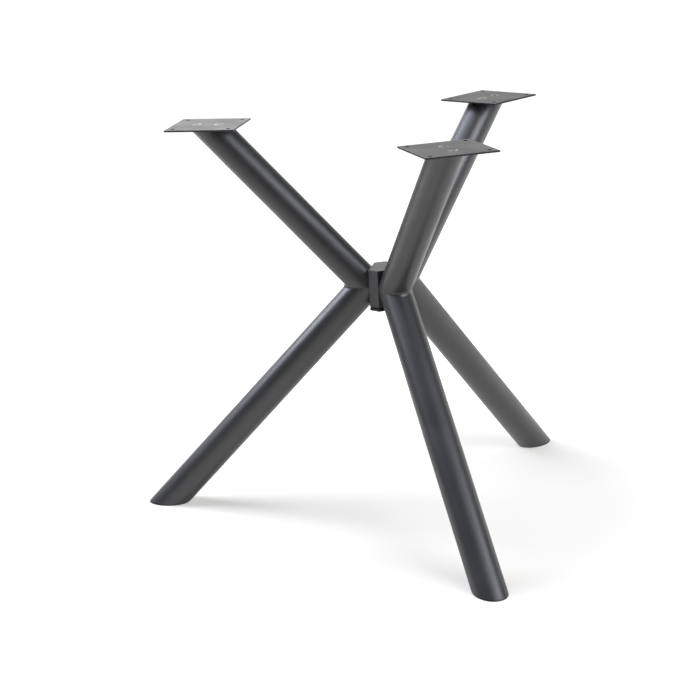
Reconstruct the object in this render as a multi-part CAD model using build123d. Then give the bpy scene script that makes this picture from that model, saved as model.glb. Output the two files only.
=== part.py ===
from build123d import *
import math
import os

# Overall size, in millimetres, with the hub axis on Z and the floor at zero height
HEIGHT = 710.0
LEG_NAMES = ("left_leg", "front_leg", "back_leg")
FIRST_LEG_AZIMUTH = 180.0

# Leg tubes: both tubes of a leg lean outward by the same angle from the vertical
TUBE_DIAMETER = 57.0
TUBE_WALL = 2.0
LEG_LEAN = 43.3
ELBOW_HEIGHT = 420.0
ELBOW_RADIUS = 36.6

# Top plates and the pattern of holes for the table top
PLATE_SIDE = 125.0
PLATE_THICK = 3.0
PLATE_EDGE = 0.4
TOP_HOLE_DIAMETER = 8.0
TOP_HOLE_INSET = 12.5

# Tapped insert in the top end of each upper tube
INSERT_THICK = 8.0
INSERT_EDGE_WALL = 2.0

# Hub: distances are from its axis
HUB_FACE_DISTANCE = 28.4
HUB_FACE_MARGIN = 0.3
HUB_WALL = 5.0
HUB_TOP_THICK = 5.0
HUB_EDGE = 0.5
HUB_PLATE_THICK = 6.0
HUB_BOLT_EDGE = 14.7

# Cap under the hub, with a shadow gap above its flange
CAP_FLANGE_THICK = 5.0
CAP_FLANGE_INSET = 0.4
CAP_SHADOW_GAP = 2.5
CAP_NECK_INSET = 2.5
CAP_WALL = 2.0
CAP_BOLT_GAP = 3.0
CAP_EDGE = 0.5

# Foot caps
FOOT_FLANGE_THICK = 2.0
FOOT_FLANGE_INSET = 0.4
FOOT_PLUG_LENGTH = 14.0
FOOT_RIB_THICK = 3.0

# Fasteners: the heads follow from the thread size
THREAD_DIAMETER = 8.0
THREAD_POINT = 1.0
BOLT_POINT = 3.4
BOLT_HOLE_PLAY = 0.5

# Clearances
WELD_GAP = 0.15
THREAD_PLAY = 0.05
HEAD_PLAY = 0.1
PLUG_PLAY = 0.2

# Worked out from the sizes above
lean = math.radians(LEG_LEAN)
leg_pitch = 360.0 / len(LEG_NAMES)
tube_radius = TUBE_DIAMETER / 2
bore_radius = tube_radius - TUBE_WALL
thread_radius = THREAD_DIAMETER / 2
tube_top = HEIGHT - PLATE_THICK
elbow_setback = ELBOW_RADIUS - HUB_FACE_DISTANCE
elbow_drop = elbow_setback / math.tan(lean)
reach = 2 * HEIGHT

# The flat cut at the elbow sets how tall and how wide a leg face of the hub is
cut_half_height = tube_radius / math.sin(lean) - elbow_drop
cut_half_width = math.sqrt(tube_radius**2 - (elbow_setback * math.cos(lean)) ** 2)
hub_half_height = cut_half_height + HUB_FACE_MARGIN
hub_bottom = ELBOW_HEIGHT - hub_half_height
hub_top = ELBOW_HEIGHT + hub_half_height
half_pitch = math.radians(leg_pitch / 2)
hub_corner_distance = (
    HUB_FACE_DISTANCE * math.cos(half_pitch)
    + (cut_half_width + HUB_FACE_MARGIN) * math.sin(half_pitch)
)

# Fastener heads in proportion to their thread
bolt_head_width = 1.625 * THREAD_DIAMETER
bolt_head_height = 0.6625 * THREAD_DIAMETER
bolt_head_reach = bolt_head_width / math.sqrt(3)
sunk_head_radius = THREAD_DIAMETER
sunk_socket_width = 0.625 * THREAD_DIAMETER
sunk_socket_depth = 0.375 * THREAD_DIAMETER
screw_length = PLATE_THICK + INSERT_THICK + THREAD_POINT
bolt_length = HUB_WALL + HUB_PLATE_THICK + BOLT_POINT


def axis_radius(height):
    """Distance from the hub axis to a leg's tube axis at a height."""
    return ELBOW_RADIUS + abs(height - ELBOW_HEIGHT) * math.tan(lean)


# Each plate is centred where the tube axis reaches its top face
plate_radius = axis_radius(HEIGHT)
insert_underside = tube_top - INSERT_THICK
bore_edge = axis_radius(insert_underside) + bore_radius / math.cos(lean)
screw_offset = bore_edge - INSERT_EDGE_WALL - thread_radius - plate_radius
screw_radii = (plate_radius - screw_offset, plate_radius + screw_offset)

# The hub bolts sit in from the tips of the hub plate
hub_plate_half_height = (bore_radius - WELD_GAP) / math.sin(lean) - elbow_drop
bolt_offset = hub_plate_half_height - HUB_BOLT_EDGE
bolt_heights = (ELBOW_HEIGHT - bolt_offset, ELBOW_HEIGHT + bolt_offset)
bolt_seat = HUB_FACE_DISTANCE - HUB_WALL

# The cap's plug stops short of the lower bolt heads
cap_underside = hub_bottom - CAP_SHADOW_GAP - CAP_FLANGE_THICK
cap_plug_top = bolt_heights[0] - bolt_head_reach - CAP_BOLT_GAP


def tube_plane(rise):
    """Plane at the elbow whose normal is a tube's axis; rise is +1 for the upper tube, -1 for the lower."""
    direction = (math.sin(lean), 0, rise * math.cos(lean))
    across = (math.cos(lean), 0, -rise * math.sin(lean))
    return Plane(origin=(ELBOW_RADIUS, 0, ELBOW_HEIGHT), x_dir=across, z_dir=direction)


def leaning_bar(radius, rise):
    """Round bar along a leg's tube axis, through the elbow."""
    return tube_plane(rise) * Cylinder(radius, 2 * reach)


def leg_zone(bottom, top):
    """Block of space outside a leg face of the hub, between two heights."""
    low_corner = (Align.MIN, Align.CENTER, Align.MIN)
    return Pos(HUB_FACE_DISTANCE, 0, bottom) * Box(reach, reach, top - bottom, align=low_corner)


def leaning_slice(radius, rise, bottom, top):
    """Stretch of a leaning bar cut level at two heights and flat at the hub's leg face."""
    return leaning_bar(radius, rise) & leg_zone(bottom, top)


def rod(radius, length):
    """Round rod that runs from the origin along +Z."""
    return Cylinder(radius, length, align=(Align.CENTER, Align.CENTER, Align.MIN))


def hexagon_prism(width, depth):
    """Hexagonal prism of a width across its flats that runs from the origin along +Z."""
    return extrude(RegularPolygon(width / 2, 6, major_radius=False), depth)


def leg_tube(rise, bottom, top):
    """One hollow tube of a leg, mitred level at the elbow and cut flat at the hub."""
    outside = leaning_slice(tube_radius, rise, bottom, top)
    return outside - leaning_bar(bore_radius, rise)


def hub_plate():
    """Plate in the elbow's flat opening, in the outline of the mitred bore, with two tapped holes."""
    face = Plane(origin=(HUB_FACE_DISTANCE, 0, ELBOW_HEIGHT), x_dir=(0, 1, 0), z_dir=(1, 0, 0))
    half_width = bore_radius - WELD_GAP
    section = Ellipse(half_width, half_width / math.sin(lean))
    outline = (Pos(0, -elbow_drop) * section) & (Pos(0, elbow_drop) * section)
    plate = extrude(outline, HUB_PLATE_THICK)
    for offset in (-bolt_offset, bolt_offset):
        plate -= Pos(0, offset, 0) * rod(thread_radius + THREAD_PLAY, HUB_PLATE_THICK)
    return face * plate


def countersunk_head(play):
    """Countersunk head with its flat face at the origin, tapering along +Z, grown by a play."""
    on_origin = (Align.CENTER, Align.CENTER, Align.MIN)
    taper_height = sunk_head_radius - thread_radius
    return Cone(sunk_head_radius + play, thread_radius + play, taper_height, align=on_origin)


def top_insert():
    """Slice of leaning bar welded flush in the tube's top end, with two tapped and countersunk holes."""
    insert = leaning_slice(bore_radius - WELD_GAP, 1, insert_underside, tube_top)
    for radius in screw_radii:
        insert -= Pos(radius, 0, insert_underside) * rod(thread_radius + THREAD_PLAY, INSERT_THICK)
        insert -= Pos(radius, 0, HEIGHT) * Rot(180, 0, 0) * countersunk_head(HEAD_PLAY)
    return insert


def top_plate():
    """Square plate on the tube's end, with corner holes and two countersunk screw holes."""
    upper_center = (Align.CENTER, Align.CENTER, Align.MAX)
    plate = Box(PLATE_SIDE, PLATE_SIDE, PLATE_THICK, align=upper_center)
    rims = plate.faces().filter_by(Axis.Z).edges()
    plate = chamfer(rims, PLATE_EDGE)
    hole_pitch = PLATE_SIDE - 2 * TOP_HOLE_INSET
    for spot in GridLocations(hole_pitch, hole_pitch, 2, 2):
        plate -= spot * Cylinder(TOP_HOLE_DIAMETER / 2, 3 * PLATE_THICK)
    for offset in (-screw_offset, screw_offset):
        sunk_hole = countersunk_head(HEAD_PLAY) + rod(thread_radius + BOLT_HOLE_PLAY, PLATE_THICK)
        plate -= Pos(offset, 0, 0) * Rot(180, 0, 0) * sunk_hole
    return Pos(plate_radius, 0, HEIGHT) * plate


def foot_cap():
    """Plastic cap under the lower tube: a thin flange on the floor and crossed ribs up the bore."""
    flange = leaning_slice(tube_radius - FOOT_FLANGE_INSET, -1, 0, FOOT_FLANGE_THICK)
    plug_top = FOOT_FLANGE_THICK + FOOT_PLUG_LENGTH
    plug = leaning_slice(bore_radius - PLUG_PLAY, -1, FOOT_FLANGE_THICK, plug_top)
    along_leg = Box(reach, FOOT_RIB_THICK, reach)
    across_leg = tube_plane(-1) * Box(FOOT_RIB_THICK, reach, 2 * reach)
    return flange + (plug & along_leg) + (plug & across_leg)


def hub_outline(inset):
    """Hub section: broad leg faces and narrow corner faces, drawn in by an inset."""
    turn = FIRST_LEG_AZIMUTH + leg_pitch / 2
    sides = len(LEG_NAMES)
    leg_faces = RegularPolygon(HUB_FACE_DISTANCE - inset, sides, major_radius=False, rotation=turn)
    corner_faces = RegularPolygon(
        hub_corner_distance - inset,
        sides,
        major_radius=False,
        rotation=turn + leg_pitch / 2,
    )
    return leg_faces & corner_faces


def hub_prism(inset, bottom, top):
    """Upright prism with the hub's section between two heights."""
    return Pos(0, 0, bottom) * extrude(hub_outline(inset), top - bottom)


def hub_body():
    """Hollow hub, closed at the top and open below, with clearance holes in its leg faces."""
    body = hub_prism(0, hub_bottom, hub_top)
    body = chamfer(body.edges().filter_by(Axis.Z), HUB_EDGE)
    body = chamfer(body.faces().sort_by(Axis.Z)[-1].edges(), HUB_EDGE)
    body -= hub_prism(HUB_WALL, hub_bottom, hub_top - HUB_TOP_THICK)
    hole = rod(thread_radius + BOLT_HOLE_PLAY, HUB_FACE_DISTANCE)
    for azimuth in leg_azimuths():
        for height in bolt_heights:
            body -= Rot(0, 0, azimuth) * Pos(0, 0, height) * Rot(0, 90, 0) * hole
    return body


def hub_bottom_cap():
    """Plastic cap under the hub: a flange, an inset neck that makes the shadow gap, and a hollow plug."""
    flange_top = cap_underside + CAP_FLANGE_THICK
    flange = hub_prism(CAP_FLANGE_INSET, cap_underside, flange_top)
    flange = chamfer(flange.faces().sort_by(Axis.Z)[0].edges(), CAP_EDGE)
    neck = hub_prism(CAP_NECK_INSET, flange_top, hub_bottom)
    plug_inset = HUB_WALL + PLUG_PLAY
    plug = hub_prism(plug_inset, hub_bottom, cap_plug_top)
    hollow = hub_prism(plug_inset + CAP_WALL, flange_top, cap_plug_top)
    return flange + neck + plug - hollow


def hub_bolt():
    """Hexagon-head bolt along +Z, with the underside of its head at the origin."""
    head = Pos(0, 0, -bolt_head_height) * hexagon_prism(bolt_head_width, bolt_head_height)
    return head + rod(thread_radius, bolt_length)


def plate_screw():
    """Countersunk socket screw along +Z, with the face of its head at the origin."""
    screw = countersunk_head(0) + rod(thread_radius, screw_length)
    return screw - hexagon_prism(sunk_socket_width, sunk_socket_depth)


def leg_azimuths():
    """Directions of the legs round the hub axis."""
    return [FIRST_LEG_AZIMUTH + leg_pitch * number for number in range(len(LEG_NAMES))]


def on_hub_faces(piece, distance):
    """Copies of a piece at every hub bolt, pointing outward from a distance off the hub axis."""
    return [
        Rot(0, 0, azimuth) * Pos(distance, 0, height) * Rot(0, 90, 0) * piece
        for azimuth in leg_azimuths()
        for height in bolt_heights
    ]


def on_plates(piece):
    """Copies of a piece at every plate screw, pointing down from the plates' top faces."""
    return [
        Rot(0, 0, azimuth) * Pos(radius, 0, HEIGHT) * Rot(180, 0, 0) * piece
        for azimuth in leg_azimuths()
        for radius in screw_radii
    ]


def leg_pieces():
    """The pieces of one leg, with the leg pointing along +X."""
    return {
        "upper_tube": leg_tube(1, ELBOW_HEIGHT, tube_top),
        "lower_tube": leg_tube(-1, FOOT_FLANGE_THICK, ELBOW_HEIGHT),
        "hub_plate": hub_plate(),
        "top_insert": top_insert(),
        "top_plate": top_plate(),
        "foot_cap": foot_cap(),
    }


def all_pieces():
    """Every node of the table base by name, in place."""
    pieces = {
        "hub_body": hub_body(),
        "hub_bottom_cap": hub_bottom_cap(),
        "hub_bolts": Compound(children=on_hub_faces(hub_bolt(), bolt_seat)),
        "plate_screws": Compound(children=on_plates(plate_screw())),
    }
    leg = leg_pieces()
    for leg_name, azimuth in zip(LEG_NAMES, leg_azimuths()):
        for piece_name, piece in leg.items():
            pieces[f"{leg_name}_{piece_name}"] = Rot(0, 0, azimuth) * piece
    return pieces


os.makedirs("parts", exist_ok=True)
for name, shape in all_pieces().items():
    export_step(shape, f"parts/{name}.step")
    print(name, round(shape.volume), "cubic mm")
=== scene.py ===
# %% [markdown]
# # A three-legged table base in black powder coat
# The real object is a steel base for a small table. Three bent legs are bolted to a short hub, and
# each leg carries a square plate for the table top. Its pieces come ready-made as a fixed frame, at
# their true size and in their true places, so nothing here is moved or scaled. This lesson gives the
# pieces their finishes, adds the ground welds at the elbows, and sets up the floor, the studio lamps
# and the camera.

import math

import bmesh
import bpy
from mathutils import Matrix, Vector


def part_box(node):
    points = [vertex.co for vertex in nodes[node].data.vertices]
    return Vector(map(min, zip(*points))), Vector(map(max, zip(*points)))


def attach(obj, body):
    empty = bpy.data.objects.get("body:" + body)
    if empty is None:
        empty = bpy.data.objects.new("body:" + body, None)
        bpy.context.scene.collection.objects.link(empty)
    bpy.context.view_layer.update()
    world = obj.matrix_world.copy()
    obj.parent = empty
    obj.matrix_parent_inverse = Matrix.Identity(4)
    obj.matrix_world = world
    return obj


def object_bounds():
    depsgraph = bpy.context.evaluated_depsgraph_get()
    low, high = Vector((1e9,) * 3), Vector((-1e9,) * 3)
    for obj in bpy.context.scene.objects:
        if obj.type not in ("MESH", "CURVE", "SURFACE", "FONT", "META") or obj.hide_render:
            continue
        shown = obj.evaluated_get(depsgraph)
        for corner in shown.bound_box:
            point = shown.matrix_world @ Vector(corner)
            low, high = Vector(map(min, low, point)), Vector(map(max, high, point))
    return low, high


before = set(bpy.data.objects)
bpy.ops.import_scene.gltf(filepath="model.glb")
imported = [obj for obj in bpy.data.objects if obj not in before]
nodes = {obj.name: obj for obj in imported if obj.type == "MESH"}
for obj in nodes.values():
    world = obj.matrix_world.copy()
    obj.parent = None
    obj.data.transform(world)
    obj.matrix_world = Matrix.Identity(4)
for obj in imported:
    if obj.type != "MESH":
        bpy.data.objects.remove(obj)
cad_low, cad_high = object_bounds()
print("frame:", len(nodes), "pieces,", [round(side, 4) for side in cad_high - cad_low], "metres")

# %% [markdown]
# ## The camera
# The photograph was taken from about three metres away and a little above the plates, with a long
# lens, so the legs hardly narrow with distance. A camera could be aimed by eye or by a constraint.
# Here it is a place and three angles: it starts level, looking along +Y, turns about the upright,
# dips, and then rolls about its own line of sight. Those numbers were measured once from where the
# plates, feet and hub fall in the picture.

# %% The camera
CAMERA_PLACE = Vector((0.5742, -3.1429, 1.2208))
CAMERA_TURN = math.radians(11.647)
CAMERA_DIP = math.radians(16.043)
CAMERA_ROLL = math.radians(-2.728)
CAMERA_LENS = 95.48
CAMERA_SENSOR = 36.0


def aim(turn, dip, roll):
    """Rotation that turns a level camera, dips it and rolls it."""
    nod = Matrix.Rotation(math.pi / 2 - dip, 4, "X")
    return Matrix.Rotation(turn, 4, "Z") @ nod @ Matrix.Rotation(roll, 4, "Z")


lens = bpy.data.cameras.new("camera")
lens.lens = CAMERA_LENS
lens.sensor_width = CAMERA_SENSOR
camera = bpy.data.objects.new("camera", lens)
camera.matrix_world = Matrix.Translation(CAMERA_PLACE) @ aim(CAMERA_TURN, CAMERA_DIP, CAMERA_ROLL)
bpy.context.scene.collection.objects.link(camera)
bpy.context.scene.camera = camera
print("camera:", [round(x, 3) for x in camera.location], "lens", CAMERA_LENS, "mm")

# %% [markdown]
# ## Tools for making finishes
# A finish is a material built from nodes. Every piece of the frame sits at the origin with its place
# in its mesh, so its object coordinates are metres on the whole base: a pattern runs through from
# piece to piece, and its scale is simply one over the size of its lumps. A few small helpers keep the
# recipes short. The first four start a finish, add a node, turn one range of values into another, and
# make noise of a given size. The last two mix colours and raise bumps.

# %% Tools for values and noise
NOISE_LOW = 0.3
NOISE_HIGH = 0.7


def new_finish(name):
    """A new material, with its node tree, its shader and its object coordinates."""
    finish = bpy.data.materials.new(name)
    finish.use_nodes = True
    tree = finish.node_tree
    place = tree.nodes.new("ShaderNodeTexCoord").outputs["Object"]
    return finish, tree, tree.nodes["Principled BSDF"], place


def add_node(tree, kind, **inputs):
    """Adds a node and sets some of its inputs by name."""
    node = tree.nodes.new(kind)
    for name, value in inputs.items():
        node.inputs[name].default_value = value
    return node


def ramp(tree, source, start, end, first=0.0, last=1.0, soft=False):
    """Value that runs from first to last while its source runs from start to end; soft eases both ends."""
    slope = tree.nodes.new("ShaderNodeMapRange")
    slope.interpolation_type = "SMOOTHSTEP" if soft else "LINEAR"
    tree.links.new(source, slope.inputs["Value"])
    for name, value in (("From Min", start), ("From Max", end), ("To Min", first), ("To Max", last)):
        slope.inputs[name].default_value = value
    return slope.outputs["Result"]


def noise(tree, place, lump, detail):
    """Noise with lumps of about one size, in metres."""
    cloud = add_node(tree, "ShaderNodeTexNoise", Scale=1 / lump, Detail=detail)
    tree.links.new(place, cloud.inputs["Vector"])
    return cloud.outputs["Fac"]


def spread(tree, source, low, high):
    """Noise stretched over a range of values."""
    return ramp(tree, source, NOISE_LOW, NOISE_HIGH, low, high)


print("tools for values and noise ready")

# %% Tools for colours and bumps


def blend_colours(tree, share, first, second):
    """Mix of two colours by a share; each is a colour or the output of another mix."""
    mix = tree.nodes.new("ShaderNodeMix")
    mix.data_type = "RGBA"
    tree.links.new(share, mix.inputs["Factor"])
    for name, colour in (("A", first), ("B", second)):
        socket = next(s for s in mix.inputs if s.name == name and s.type == "RGBA")
        if isinstance(colour, tuple):
            socket.default_value = (*colour, 1.0)
        else:
            tree.links.new(colour, socket)
    return next(s for s in mix.outputs if s.type == "RGBA")


def raise_bumps(tree, source, height, strength, under=None):
    """Bump of a height in metres, laid over another bump if there is one."""
    bump = add_node(tree, "ShaderNodeBump", Strength=strength, Distance=height)
    tree.links.new(source, bump.inputs["Height"])
    if under is not None:
        tree.links.new(under, bump.inputs["Normal"])
    return bump.outputs["Normal"]


print("tools for colours and bumps ready")

# %% [markdown]
# ## Powder coat
# The tubes, plates and hub are sprayed with dry paint powder that melts in an oven. Up close the
# skin has a fine grain, over a faint slow waviness, and its gloss is satin, never quite even. The
# paint draws thin on sharp edges, and the edges are painted a little paler, partly for that and partly
# as a painted highlight where a rounded edge would catch the light. A flat black would look like a hole,
# so the recipe has two greys with a trace of blue, two sizes of bump, a wandering roughness, and an
# edge mask from the Bevel node, which compares the true surface with a slightly rounded one.

# %% A mask for edges
EDGE_NONE = 0.99


def edge_mask(tree, width, sharpest):
    """One along edges, zero on open faces; sharpest is how alike the two normals are at a full edge."""
    rounded = add_node(tree, "ShaderNodeBevel", Radius=width)
    surface = tree.nodes.new("ShaderNodeNewGeometry")
    alike = tree.nodes.new("ShaderNodeVectorMath")
    alike.operation = "DOT_PRODUCT"
    tree.links.new(rounded.outputs["Normal"], alike.inputs[0])
    tree.links.new(surface.outputs["Normal"], alike.inputs[1])
    return ramp(tree, alike.outputs["Value"], EDGE_NONE, sharpest)


print("edge mask ready")

# %% Powder coat
COAT_DARK = (0.0240, 0.0241, 0.0246)
COAT_LIGHT = (0.0340, 0.0342, 0.0349)
COAT_EDGE_HIGHLIGHT = (0.0360, 0.0362, 0.0369)
COAT_EDGE_WIDTH = 0.0006
COAT_SHARPNESS = 0.80
COAT_GRAIN = 0.0006
COAT_GRAIN_DETAIL = 2.0
COAT_GRAIN_HEIGHT = 0.00006
COAT_GRAIN_STRENGTH = 0.25
COAT_WAVE = 0.005
COAT_WAVE_DETAIL = 1.0
COAT_WAVE_HEIGHT = 0.0002
COAT_WAVE_STRENGTH = 0.06
COAT_CLOUD = 0.06
COAT_CLOUD_DETAIL = 3.0
COAT_ROUGHNESS = (0.37, 0.45)
COAT_SHEEN = 1.0


def make_powder_coat(name):
    """Satin black powder coat with grain, slow waves, cloudy gloss, and edges painted paler as thin paint
    and a painted highlight.
    """
    finish, tree, shader, place = new_finish(name)
    grain = noise(tree, place, COAT_GRAIN, COAT_GRAIN_DETAIL)
    wave = noise(tree, place, COAT_WAVE, COAT_WAVE_DETAIL)
    cloud = noise(tree, place, COAT_CLOUD, COAT_CLOUD_DETAIL)
    skin = blend_colours(tree, spread(tree, grain, 0.0, 1.0), COAT_DARK, COAT_LIGHT)
    # edges painted paler: partly thin paint, partly a painted highlight
    colour = blend_colours(tree, edge_mask(tree, COAT_EDGE_WIDTH, COAT_SHARPNESS), skin, COAT_EDGE_HIGHLIGHT)
    shader.inputs["Specular IOR Level"].default_value = COAT_SHEEN
    tree.links.new(colour, shader.inputs["Base Color"])
    tree.links.new(spread(tree, cloud, *COAT_ROUGHNESS), shader.inputs["Roughness"])
    waves = raise_bumps(tree, wave, COAT_WAVE_HEIGHT, COAT_WAVE_STRENGTH)
    grains = raise_bumps(tree, grain, COAT_GRAIN_HEIGHT, COAT_GRAIN_STRENGTH, waves)
    tree.links.new(grains, shader.inputs["Normal"])
    return finish


powder_coat = make_powder_coat("powder_coat")
print("finish:", powder_coat.name)

# %% [markdown]
# ## Powder coat over a cut edge, with painted shade
# The plates are cut from sheet steel by a laser, which leaves fine upright ribs on the cut. Paint sits
# thin and dull over them. The rim of a plate is also given a darker colour than its face, as painted
# shade. The rim could be painted face by face; here the recipe finds it, because on a level plate only
# the cut faces look sideways. The ribs are noise that is left fine sideways and stretched upright.

# %% Powder coat over a cut edge, with painted shade
CUT_SHADE_COLOUR = (0.013, 0.013, 0.013)
CUT_SHEEN = 0.3
CUT_RIB = 0.0007
CUT_RIB_DETAIL = 1.0
CUT_RIB_HEIGHT = 0.0001
CUT_RIB_STRENGTH = 0.5
CUT_STRETCH = 0.08
CUT_FLATNESS = (0.3, 0.5)


def join(tree, operation, first, second):
    """Two values joined by a product, a sum or the like; the second may be a plain number."""
    joint = tree.nodes.new("ShaderNodeMath")
    joint.operation = operation
    tree.links.new(first, joint.inputs[0])
    if isinstance(second, float):
        joint.inputs[1].default_value = second
    else:
        tree.links.new(second, joint.inputs[1])
    return joint.outputs["Value"]


def add_cut_edge_and_shade(finish):
    """Paints shade onto, dulls and ribs the faces of a finish that look sideways."""
    tree = finish.node_tree
    shader = tree.nodes["Principled BSDF"]
    facing = tree.nodes.new("ShaderNodeSeparateXYZ")
    tree.links.new(tree.nodes.new("ShaderNodeNewGeometry").outputs["True Normal"], facing.inputs[0])
    flatness = join(tree, "MULTIPLY", facing.outputs["Z"], facing.outputs["Z"])
    cut = ramp(tree, flatness, *CUT_FLATNESS, 1.0, 0.0, soft=True)
    # painted shade: faces that look sideways get a darker colour than the face of the plate
    painted = shader.inputs["Base Color"].links[0].from_socket
    tree.links.new(blend_colours(tree, cut, painted, CUT_SHADE_COLOUR), shader.inputs["Base Color"])
    sheen = ramp(tree, cut, 0.0, 1.0, COAT_SHEEN, CUT_SHEEN)
    tree.links.new(sheen, shader.inputs["Specular IOR Level"])
    stretch = add_node(tree, "ShaderNodeMapping", Scale=(1.0, 1.0, CUT_STRETCH))
    tree.links.new(tree.nodes.new("ShaderNodeTexCoord").outputs["Object"], stretch.inputs["Vector"])
    streaks = noise(tree, stretch.outputs["Vector"], CUT_RIB, CUT_RIB_DETAIL)
    ribs = join(tree, "MULTIPLY", streaks, cut)
    grained = shader.inputs["Normal"].links[0].from_socket
    ribbed = raise_bumps(tree, ribs, CUT_RIB_HEIGHT, CUT_RIB_STRENGTH, grained)
    tree.links.new(ribbed, shader.inputs["Normal"])
    return finish


plate_coat = add_cut_edge_and_shade(make_powder_coat("plate_coat"))
print("finish:", plate_coat.name)

# %% [markdown]
# ## Black plastic
# The foot caps and the cap under the hub are moulded nylon: deeper black than the paint, duller, and
# with the even sparkle of an etched mould. Plain noise would do; a finer one for the mould's grain
# and a coarse one for scuffed gloss read better when the camera comes close.

# %% Black plastic
PLASTIC_DARK = (0.016, 0.016, 0.017)
PLASTIC_LIGHT = (0.030, 0.030, 0.031)
PLASTIC_GRAIN = 0.0009
PLASTIC_GRAIN_DETAIL = 1.0
PLASTIC_GRAIN_HEIGHT = 0.00008
PLASTIC_GRAIN_STRENGTH = 0.3
PLASTIC_SCUFF = 0.012
PLASTIC_SCUFF_DETAIL = 4.0
PLASTIC_ROUGHNESS = (0.50, 0.64)


def make_black_plastic():
    """Matt moulded plastic."""
    finish, tree, shader, place = new_finish("black_plastic")
    grain = noise(tree, place, PLASTIC_GRAIN, PLASTIC_GRAIN_DETAIL)
    scuff = noise(tree, place, PLASTIC_SCUFF, PLASTIC_SCUFF_DETAIL)
    colour = blend_colours(tree, spread(tree, scuff, 0.0, 1.0), PLASTIC_DARK, PLASTIC_LIGHT)
    tree.links.new(colour, shader.inputs["Base Color"])
    tree.links.new(spread(tree, scuff, *PLASTIC_ROUGHNESS), shader.inputs["Roughness"])
    grains = raise_bumps(tree, grain, PLASTIC_GRAIN_HEIGHT, PLASTIC_GRAIN_STRENGTH)
    tree.links.new(grains, shader.inputs["Normal"])
    return finish


black_plastic = make_black_plastic()
print("finish:", black_plastic.name)

# %% [markdown]
# ## Blackened steel
# The screws and bolts are steel with a thin black skin, which hexagon keys and washers rub off. In the
# picture the screw heads are as dark as the plates, with a few bright glints at their rims. Two
# finishes are mixed here by one share: black skin, and bare metal where an edge is near and a coarse
# noise is high, so that the rub is broken up and no two heads look alike.

# %% Blackened steel
SKIN_BLACK = (0.022, 0.022, 0.024)
STEEL_BARE = (0.72, 0.71, 0.69)
STEEL_ROUGHNESS = (0.42, 0.30)
RUB_WIDTH = 0.0026
RUB_SHARPNESS = 0.94
RUB_LUMP = 0.004
RUB_DETAIL = 2.0
RUB_PATCHES = (0.40, 0.567)


def make_black_steel():
    """Black-skinned steel, rubbed bright in patches along its edges."""
    finish, tree, shader, place = new_finish("black_steel")
    patch = ramp(tree, noise(tree, place, RUB_LUMP, RUB_DETAIL), *RUB_PATCHES)
    share = join(tree, "MULTIPLY", patch, edge_mask(tree, RUB_WIDTH, RUB_SHARPNESS))
    tree.links.new(blend_colours(tree, share, SKIN_BLACK, STEEL_BARE), shader.inputs["Base Color"])
    tree.links.new(share, shader.inputs["Metallic"])
    tree.links.new(spread(tree, patch, *STEEL_ROUGHNESS), shader.inputs["Roughness"])
    return finish


black_steel = make_black_steel()
print("finish:", black_steel.name)

# %% [markdown]
# ## Finishing the frame
# Each piece of the frame gets its finish by filling its material slots. The name of a piece says what
# it is, so the plates take the paint with cut edges and painted shade on their rims, the caps take the
# plastic, the screws and bolts take the black steel, and the rest is painted.

# %% Finishing the frame
FINISH_BY_ENDING = {
    "top_plate": plate_coat,
    "cap": black_plastic,
    "bolts": black_steel,
    "screws": black_steel,
}


def finish_for(name):
    """The finish of a piece, told by the ending of its name."""
    fitting = (finish for ending, finish in FINISH_BY_ENDING.items() if name.endswith(ending))
    return next(fitting, powder_coat)


for name, piece in nodes.items():
    piece.data.materials.clear()
    piece.data.materials.append(finish_for(name))
painted = [name for name in nodes if finish_for(name) in (powder_coat, plate_coat)]
print("painted:", len(painted), "of", len(nodes), "pieces")

# %% [markdown]
# ## Ground welds at the elbows
# The two tubes of a leg meet at a level mitre. On the real leg the outer side of that joint is welded
# and ground to a soft hollow before painting, so no sharp crease shows there. A Bevel modifier can't
# round a line between two separate pieces, so the weld is a piece of its own: the hollow that a small
# ball leaves when it rolls along the crease and touches both tubes. The ball's path has a simple
# formula, because both tubes lean by the same angle. Its radius wanders slightly, as hand grinding
# leaves it.

# %% Sizes of the elbows, from the frame
LEG_AZIMUTHS = {"left_leg": 180.0, "front_leg": 300.0, "back_leg": 60.0}
LEG_LEAN = math.radians(43.3)

tube_low, tube_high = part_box("left_leg_upper_tube")
plate_low, plate_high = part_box("left_leg_top_plate")
tube_radius = (tube_high.y - tube_low.y) / 2
elbow_height = tube_low.z
plate_reach = -(plate_low.x + plate_high.x) / 2
elbow_reach = plate_reach - (plate_high.z - elbow_height) * math.tan(LEG_LEAN)
print("tube radius", round(tube_radius, 5), "elbow at", round(elbow_reach, 5), round(elbow_height, 5))

# %% Section of a weld
WELD_RADIUS = 0.0065
WELD_ARC_STEPS = 12


def tube_facing(turn, rise):
    """Direction straight out of a tube, turned round it from its outer line; rise is 1 above, -1 below."""
    outward = Vector((math.cos(LEG_LEAN), 0, -rise * math.sin(LEG_LEAN)))
    return outward * math.cos(turn) + Vector((0, math.sin(turn), 0))


def crease_point(turn, distance):
    """Point level with the elbow, at a distance from the axis of both tubes."""
    across = distance / math.cos(LEG_LEAN) * math.cos(turn)
    return Vector((elbow_reach + across, distance * math.sin(turn), elbow_height))


def weld_section(turn, ball):
    """Points of the weld's section: the hollow from the upper tube to the lower, then the crease."""
    centre = crease_point(turn, tube_radius + ball)
    above = tube_facing(turn, 1)
    below = tube_facing(turn, -1)
    hollow = [
        centre - above.slerp(below, step / WELD_ARC_STEPS) * ball
        for step in range(WELD_ARC_STEPS + 1)
    ]
    return [*hollow, crease_point(turn, tube_radius)]


print("weld section of", len(weld_section(0.0, WELD_RADIUS)), "points")

# %% Ground welds at the elbows
WELD_WANDER = 0.0004
LONG_WAVES = 5
SHORT_WAVES = 11
SHORT_SHARE = 0.6
WELD_SPAN = math.radians(87.0)
WELD_STEPS = 72
WELD_SHARP = math.radians(40)
WELD_PHASE = 1.7


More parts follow.
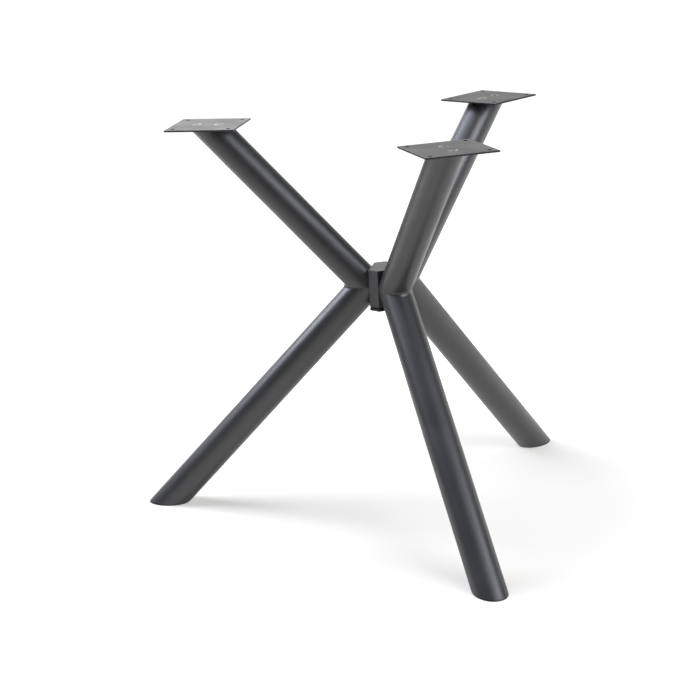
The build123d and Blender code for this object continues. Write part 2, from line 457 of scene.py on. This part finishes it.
def weld_mesh(name, azimuth, phase):
    """Closed solid through the sections of one weld, which tapers to nothing at both ends."""
    shape = bmesh.new()
    swing = Matrix.Rotation(math.radians(azimuth), 4, "Z")
    rings = []
    for step in range(WELD_STEPS + 1):
        turn = WELD_SPAN * (2 * step / WELD_STEPS - 1)
        long_wave = math.sin(LONG_WAVES * turn + phase)
        short_wave = math.sin(SHORT_WAVES * turn + 2 * phase)
        wander = long_wave + SHORT_SHARE * short_wave
        section = weld_section(turn, WELD_RADIUS + WELD_WANDER * wander)
        rings.append([shape.verts.new(swing @ point) for point in section])
    count = len(rings[0])
    for ring, following in zip(rings, rings[1:]):
        for spot in range(count):
            after = (spot + 1) % count
            shape.faces.new((ring[spot], ring[after], following[after], following[spot]))
    shape.faces.new(rings[0][::-1])
    shape.faces.new(rings[-1])
    bmesh.ops.recalc_face_normals(shape, faces=shape.faces)
    for face in shape.faces:
        face.smooth = True
    for edge in shape.edges:
        edge.smooth = edge.calc_face_angle(0.0) < WELD_SHARP
    mesh = bpy.data.meshes.new(name)
    shape.to_mesh(mesh)
    shape.free()
    return mesh


for number, (leg, azimuth) in enumerate(LEG_AZIMUTHS.items()):
    name = leg + "_elbow_weld"
    weld = bpy.data.objects.new(name, weld_mesh(name, azimuth, WELD_PHASE * number))
    weld.data.materials.append(powder_coat)
    bpy.context.scene.collection.objects.link(weld)
    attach(weld, "root")
    print(weld.name, len(weld.data.polygons), "faces")

# %% [markdown]
# ## The floor
# The base stands on a white floor that runs into a white background. A plain white floor under lamps
# turns grey in the distance, and one that only glows would lose the shadows. This one is painted and
# lit near the legs, with a weak glow to lift it to white, and it glows fully far away. The Light Path
# node keeps that glow for the camera. Satin paint also mirrors the floor, so there is a second glow for
# mirrored rays alone: weak in front, and stronger behind the base, where the floor was a lit paper
# sweep. Neither glow lights the object as a lamp would. The floor's paint is a little warm, because the
# lamps are a little blue.

# %% The floor's finish
FLOOR_WHITE = (0.60, 0.575, 0.52, 1.0)
FLOOR_NEAR_GLOW = 0.39
FLOOR_REACH = (0.3, 1.1)
MIRROR_GLOW = 0.2
SWEEP_GLOW = 0.75
SWEEP_FRONT = (0.05, 0.9)
SWEEP_LEFT = (-2.2, -1.1)


def make_floor_white():
    """White floor that keeps shadows near the origin and glows far away."""
    finish, tree, shader, place = new_finish("floor_white")
    tree.nodes.remove(shader)
    length = tree.nodes.new("ShaderNodeVectorMath")
    length.operation = "LENGTH"
    tree.links.new(place, length.inputs[0])
    sides = tree.nodes.new("ShaderNodeSeparateXYZ")
    tree.links.new(place, sides.inputs[0])
    path = tree.nodes.new("ShaderNodeLightPath").outputs
    lift = ramp(tree, length.outputs["Value"], *FLOOR_REACH, FLOOR_NEAR_GLOW, 1.0, soft=True)
    behind = ramp(tree, sides.outputs["Y"], *SWEEP_FRONT, 0.0, SWEEP_GLOW, soft=True)
    sweep = join(tree, "MULTIPLY", behind, ramp(tree, sides.outputs["X"], *SWEEP_LEFT, soft=True))
    seen = join(tree, "MULTIPLY", lift, path["Is Camera Ray"])
    mirrored = join(tree, "MULTIPLY", join(tree, "ADD", sweep, MIRROR_GLOW), path["Is Glossy Ray"])
    paint = add_node(tree, "ShaderNodeBsdfDiffuse", Color=FLOOR_WHITE)
    glow = tree.nodes.new("ShaderNodeEmission")
    tree.links.new(join(tree, "ADD", seen, mirrored), glow.inputs["Strength"])
    both = tree.nodes.new("ShaderNodeAddShader")
    tree.links.new(paint.outputs[0], both.inputs[0])
    tree.links.new(glow.outputs[0], both.inputs[1])
    tree.links.new(both.outputs[0], tree.nodes["Material Output"].inputs["Surface"])
    return finish


floor_white = make_floor_white()
print("finish:", floor_white.name)

# %% The floor
FLOOR_SIDE = 80.0
FLOOR_DROP = 0.0003

half = FLOOR_SIDE / 2
floor_mesh = bpy.data.meshes.new("floor")
corners = [(-half, -half, 0), (half, -half, 0), (half, half, 0), (-half, half, 0)]
floor_mesh.from_pydata(corners, [], [(0, 1, 2, 3)])
floor_mesh.materials.append(floor_white)
floor = bpy.data.objects.new("floor", floor_mesh)
floor.location.z = cad_low.z - FLOOR_DROP
bpy.context.scene.collection.objects.link(floor)
print("floor:", FLOOR_SIDE, "metres square at", round(floor.location.z, 4))

# %% [markdown]
# ## The studio lamps
# The highlights on the tubes tell where the photographer's lamps stood. The bluish band on the upper
# left sides comes from a square soft box beside and behind the base, with a wide weak one above it. A
# second band, on the upper right sides, comes from a wide soft box at the right front, and a small one
# hangs overhead. A faint fill at the front keeps the dark strips between the bands from going black,
# and a low box at the left back is there for the left plate, which mirrors it. Area lamps make all of
# them: their size sets how wide a band is, and their power over their area sets how bright it is.

# %% The studio lamps
LAMP_TARGET = Vector((0, 0, 0.40))
LAMP_DISTANCE = 2.6
LAMPS = (
    ("left_soft_box", 172, 33, (1.3, 1.3), 55, (0.86, 0.89, 1.0)),
    ("left_high_soft_box", 172, 57, (1.9, 1.3), 32, (0.76, 0.81, 1.0)),
    ("right_soft_box", 330, 26, (2.0, 1.3), 55, (0.89, 0.92, 1.0)),
    ("overhead_soft_box", 172, 89, (1.4, 1.4), 20, (0.86, 0.90, 1.0)),
    ("front_fill", 306, 40, (1.6, 1.6), 3.6, (1.0, 1.0, 1.0)),
    ("low_back_box", 119, 13, (1.5, 1.0), 6.0, (1.0, 1.0, 1.0)),
)


def hang_lamp(name, azimuth, elevation, size, power, colour):
    """Square-on soft box, aimed at the middle of the base; azimuth turns from +X towards +Y."""
    light = bpy.data.lights.new(name, "AREA")
    light.shape = "RECTANGLE"
    light.size, light.size_y = size
    light.energy = power
    light.color = colour
    lamp = bpy.data.objects.new(name, light)
    around, up = math.radians(azimuth), math.radians(elevation)
    away = Vector((math.cos(around) * math.cos(up), math.sin(around) * math.cos(up), math.sin(up)))
    lamp.location = LAMP_TARGET + away * LAMP_DISTANCE
    lamp.rotation_euler = away.to_track_quat("Z", "Y").to_euler()
    bpy.context.scene.collection.objects.link(lamp)
    return lamp


for settings in LAMPS:
    lamp = hang_lamp(*settings)
    print(lamp.name, [round(x, 2) for x in lamp.location], round(lamp.data.energy, 1), "watts")

# %% [markdown]
# ## The world
# Past the floor the camera sees plain white. For everything else the world is dark, apart from a pale
# band low behind the base, where the lit backdrop stood: the plates and the tubes' far sides mirror it.
# The band is a little warm, as paper is, and is drawn from the direction that the world is seen in, with
# two soft steps.

# %% The world
BACKDROP_AZIMUTH = math.radians(90)
BACKDROP_HALF_WIDTH = math.radians(52)
BACKDROP_TOP = math.radians(22)
BACKDROP_SOFTNESS = math.radians(6)
BACKDROP_GLOW = 1.2
BACKDROP_COLOUR = (1.0, 0.98, 0.95, 1.0)
WHITE = (1.0, 1.0, 1.0, 1.0)


def along(tree, direction, target):
    """How far a direction points along a target, from -1 to 1."""
    product = tree.nodes.new("ShaderNodeVectorMath")
    product.operation = "DOT_PRODUCT"
    tree.links.new(direction, product.inputs[0])
    product.inputs[1].default_value = target
    return product.outputs["Value"]


def make_world():
    """Dark world with a pale backdrop band, white where the camera sees past the floor."""
    world = bpy.data.worlds.new("studio")
    world.use_nodes = True
    tree = world.node_tree
    direction = tree.nodes.new("ShaderNodeTexCoord").outputs["Generated"]
    middle = (math.cos(BACKDROP_AZIMUTH), math.sin(BACKDROP_AZIMUTH), 0.0)
    outside = math.cos(BACKDROP_HALF_WIDTH + BACKDROP_SOFTNESS)
    inside = math.cos(BACKDROP_HALF_WIDTH - BACKDROP_SOFTNESS)
    under = math.sin(BACKDROP_TOP - BACKDROP_SOFTNESS)
    over = math.sin(BACKDROP_TOP + BACKDROP_SOFTNESS)
    across = ramp(tree, along(tree, direction, middle), outside, inside, soft=True)
    below = ramp(tree, along(tree, direction, (0, 0, 1)), under, over, BACKDROP_GLOW, 0.0, soft=True)
    pale = tree.nodes["Background"]
    pale.inputs["Color"].default_value = BACKDROP_COLOUR
    tree.links.new(join(tree, "MULTIPLY", across, below), pale.inputs["Strength"])
    white = add_node(tree, "ShaderNodeBackground", Color=WHITE)
    choice = tree.nodes.new("ShaderNodeMixShader")
    path = tree.nodes.new("ShaderNodeLightPath").outputs
    tree.links.new(path["Is Camera Ray"], choice.inputs[0])
    tree.links.new(pale.outputs[0], choice.inputs[1])
    tree.links.new(white.outputs[0], choice.inputs[2])
    tree.links.new(choice.outputs[0], tree.nodes["World Output"].inputs["Surface"])
    return world


scene = bpy.context.scene
scene.world = make_world()
scene.view_settings.view_transform = "Standard"
print("world:", scene.world.name, "view:", scene.view_settings.view_transform)
